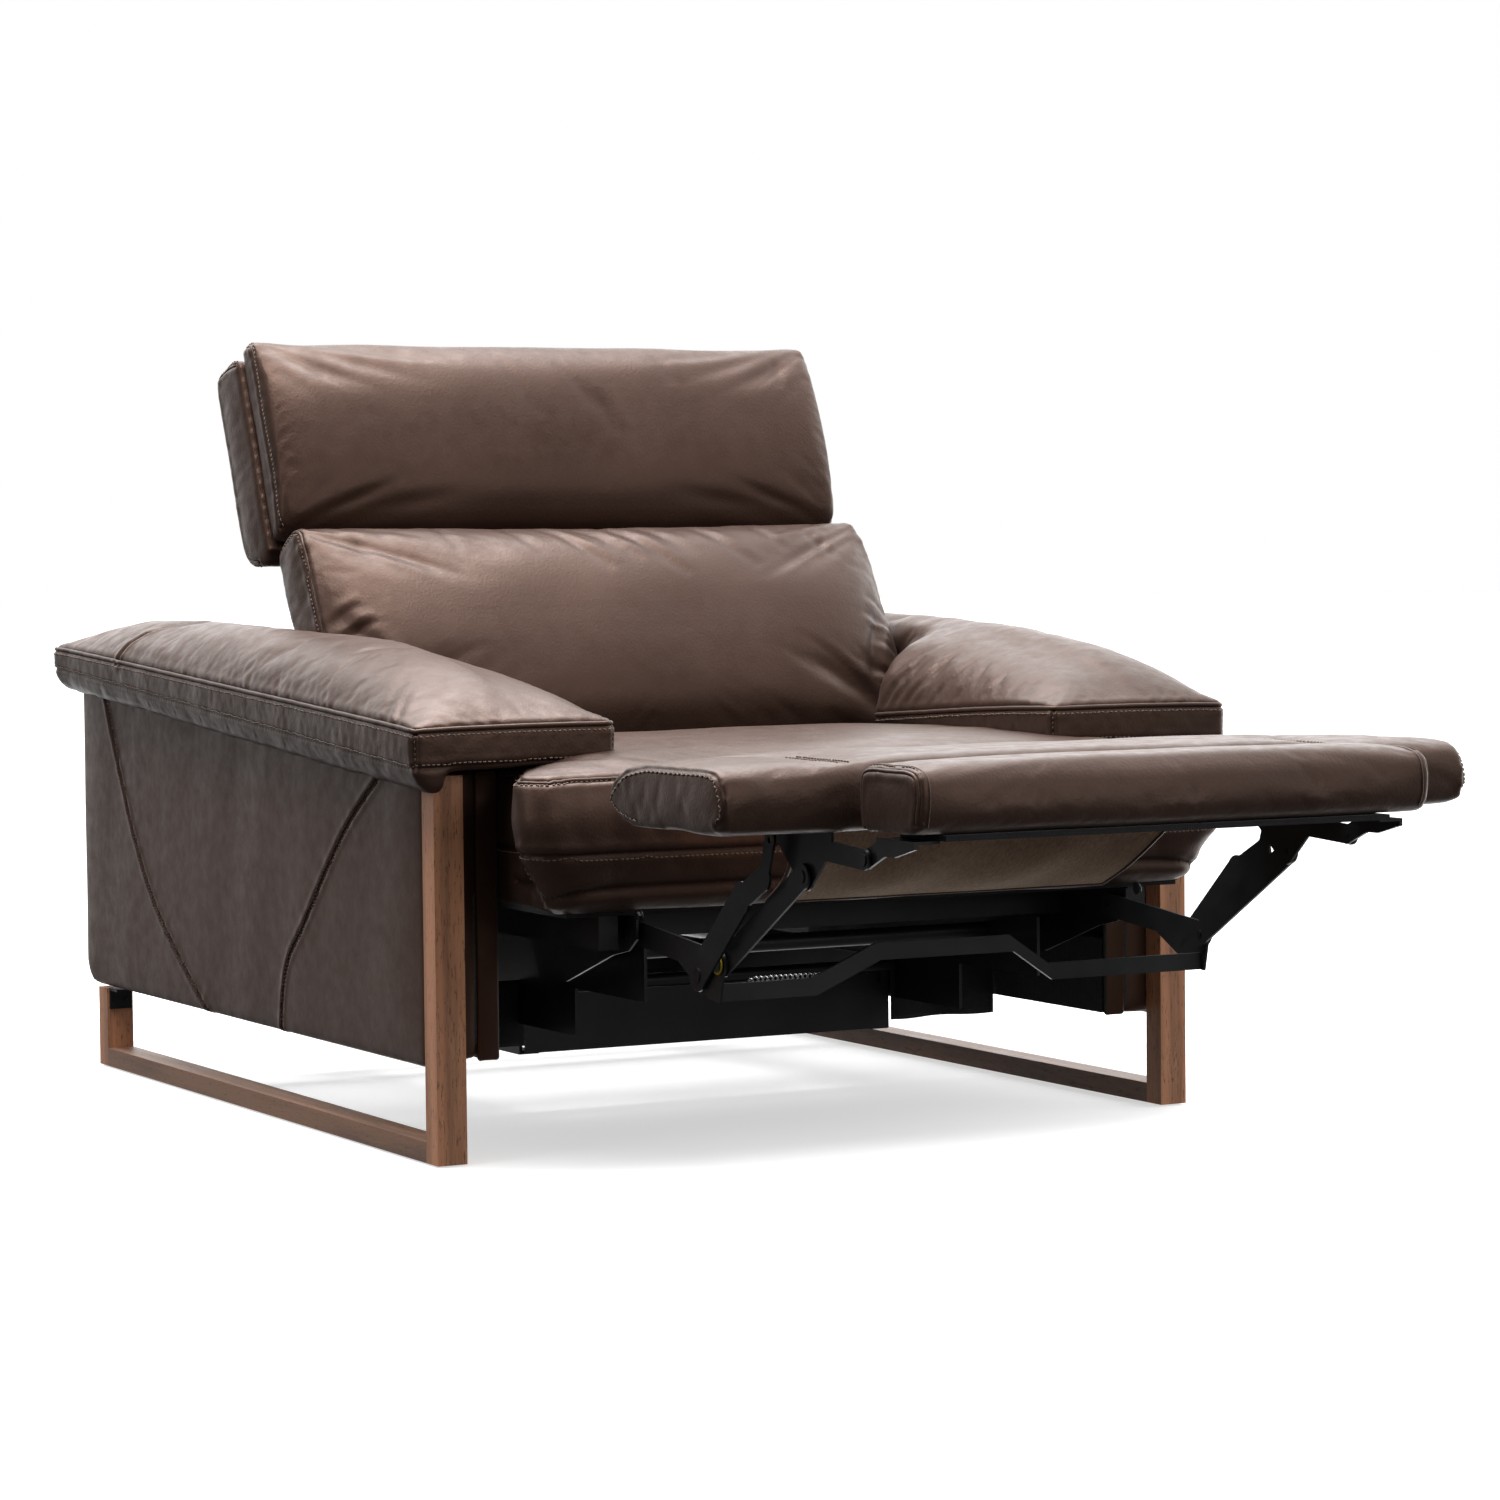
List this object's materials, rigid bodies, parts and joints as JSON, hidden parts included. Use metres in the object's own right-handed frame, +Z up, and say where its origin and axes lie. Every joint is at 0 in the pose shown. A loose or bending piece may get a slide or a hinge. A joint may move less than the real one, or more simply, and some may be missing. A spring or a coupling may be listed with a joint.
{
  "type": "recliner armchair",
  "caption": "Power recliner armchair in leather on wooden sled frames, with a folding footrest, a reclining back and an adjustable headrest.",
  "frame": {"origin": "centre of the footprint of the whole chair as shown, on the floor", "axes": "+X to the chair's left arm side as drawn, right when facing the chair from the front; the sitter faces -Y; +Z up"},
  "size_m": [1.08, 1.914, 0.9568],
  "materials": {
    "wood": "open-grain ash stained walnut brown, satin",
    "arm_leather": "dark chocolate aniline leather, smooth, soft sheen",
    "cushion_leather": "chocolate brown aniline leather, fine grain, tonal stitching",
    "black_steel": "matt black powder coat",
    "grey_steel": "zinc-plated and oiled steel",
    "black_plastic": "moulded black nylon",
    "black_cloth": "black dust-cover cloth over board",
    "plywood": "raw birch plywood",
    "suede": "tan-brown suede with dark edge piping"
  },
  "bodies": {
    "base": {"left_front_post": "wood", "right_front_post": "wood", "left_floor_rail": "wood", "right_floor_rail": "wood", "left_rear_post": "wood", "right_rear_post": "wood", "post_brackets": "black_steel", "floor_glides": "black_plastic", "left_side_panel": "arm_leather", "right_side_panel": "arm_leather", "left_arm_body": "arm_leather", "right_arm_body": "arm_leather", "left_arm_pad": "cushion_leather", "right_arm_pad": "cushion_leather", "inner_boards": "black_cloth", "base_rails": "black_steel", "cross_channel": "black_steel", "cross_angles": "black_steel", "rear_panel": "arm_leather", "power_inlet": "black_plastic", "switch_plate": "grey_steel"},
    "recline_switch": {"recline_button": "black_plastic"},
    "footrest_switch": {"footrest_button": "black_plastic"},
    "seat_carriage": {"seat_cushion": "cushion_leather", "seat_deck": "plywood", "seat_side_rails": "black_steel", "seat_cross_rails": "black_steel", "runners": "grey_steel", "linkage_plates": "black_steel", "linkage_pins": "grey_steel", "torque_tube": "grey_steel", "actuator": "grey_steel", "actuator_motor": "black_plastic", "hinge_brackets": "black_steel", "hinge_pins": "grey_steel"},
    "lower_linkage": {"lower_links": "black_steel", "cross_bar": "black_steel", "link_rivets": "grey_steel", "return_spring": "grey_steel"},
    "upper_linkage": {"upper_links": "black_steel", "upper_pins": "grey_steel"},
    "control_linkage": {"control_links": "black_steel"},
    "footrest": {"footrest_pad": "cushion_leather", "footrest_board": "plywood", "footrest_brackets": "black_steel", "flip_pins": "grey_steel", "sling": "suede"},
    "flip_panel": {"flip_pad": "cushion_leather", "flip_board": "plywood", "flip_brackets": "black_steel"},
    "back": {"back_cushion": "cushion_leather", "back_frame": "plywood", "back_rear_cover": "arm_leather", "hinge_arms": "black_steel", "ratchet_plates": "black_steel", "headrest_pins": "grey_steel"},
    "headrest": {"headrest_front_pad": "cushion_leather", "headrest_rear_pad": "cushion_leather", "headrest_board": "plywood"}
  },
  "joints": [
    {"name": "back_recline", "type": "hinge", "parent": "seat_carriage", "child": "back", "pos_m": [0, 0.285, 0.36], "axis": [1, 0, 0], "range_deg": [0, 20]},
    {"name": "seat_glide", "type": "slide", "parent": "base", "child": "seat_carriage", "axis": [0, 1, 0], "range_m": [0, 0.2255]},
    {"name": "headrest_ratchet", "type": "hinge", "parent": "back", "child": "headrest", "pos_m": [0, 0.51, 0.655], "axis": [1, 0, 0], "range_deg": [-70, 0]},
    {"name": "footrest_fold", "type": "hinge", "parent": "seat_carriage", "child": "lower_linkage", "pos_m": [0, -0.33, 0.264], "axis": [-1, 0, 0], "range_deg": [-90.65, 0]},
    {"name": "upper_elbow", "type": "hinge", "parent": "lower_linkage", "child": "upper_linkage", "pos_m": [0, -0.53, 0.245], "axis": [-1, 0, 0], "range_deg": [0, 136.64]},
    {"name": "control_elbow", "type": "hinge", "parent": "lower_linkage", "child": "control_linkage", "pos_m": [0, -0.488, 0.23], "axis": [-1, 0, 0], "range_deg": [0, 112.55]},
    {"name": "footrest_tilt", "type": "hinge", "parent": "upper_linkage", "child": "footrest", "pos_m": [0, -0.705, 0.35], "axis": [-1, 0, 0], "range_deg": [-136, 0], "deforming": ["sling"]},
    {"name": "flip_hinge", "type": "hinge", "parent": "footrest", "child": "flip_panel", "pos_m": [0, -0.825, 0.375], "axis": [-1, 0, 0], "range_deg": [-180.06, 0]},
    {"name": "recline_press", "type": "slide", "parent": "base", "child": "recline_switch", "axis": [-1, 0, 0], "range_m": [0, 0.0015]},
    {"name": "footrest_press", "type": "slide", "parent": "base", "child": "footrest_switch", "axis": [-1, 0, 0], "range_m": [0, 0.0015]}
  ],
  "couplings": [
    {"joint": "seat_glide", "follows": "back_recline", "m_per_rad": 0.6446},
    {"joint": "upper_elbow", "follows": "footrest_fold", "ratio": -1.5068},
    {"joint": "control_elbow", "follows": "footrest_fold", "ratio": -1.241},
    {"joint": "footrest_tilt", "follows": "footrest_fold", "ratio": 1.4997},
    {"joint": "flip_hinge", "follows": "footrest_fold", "ratio": 1.9858}
  ]
}
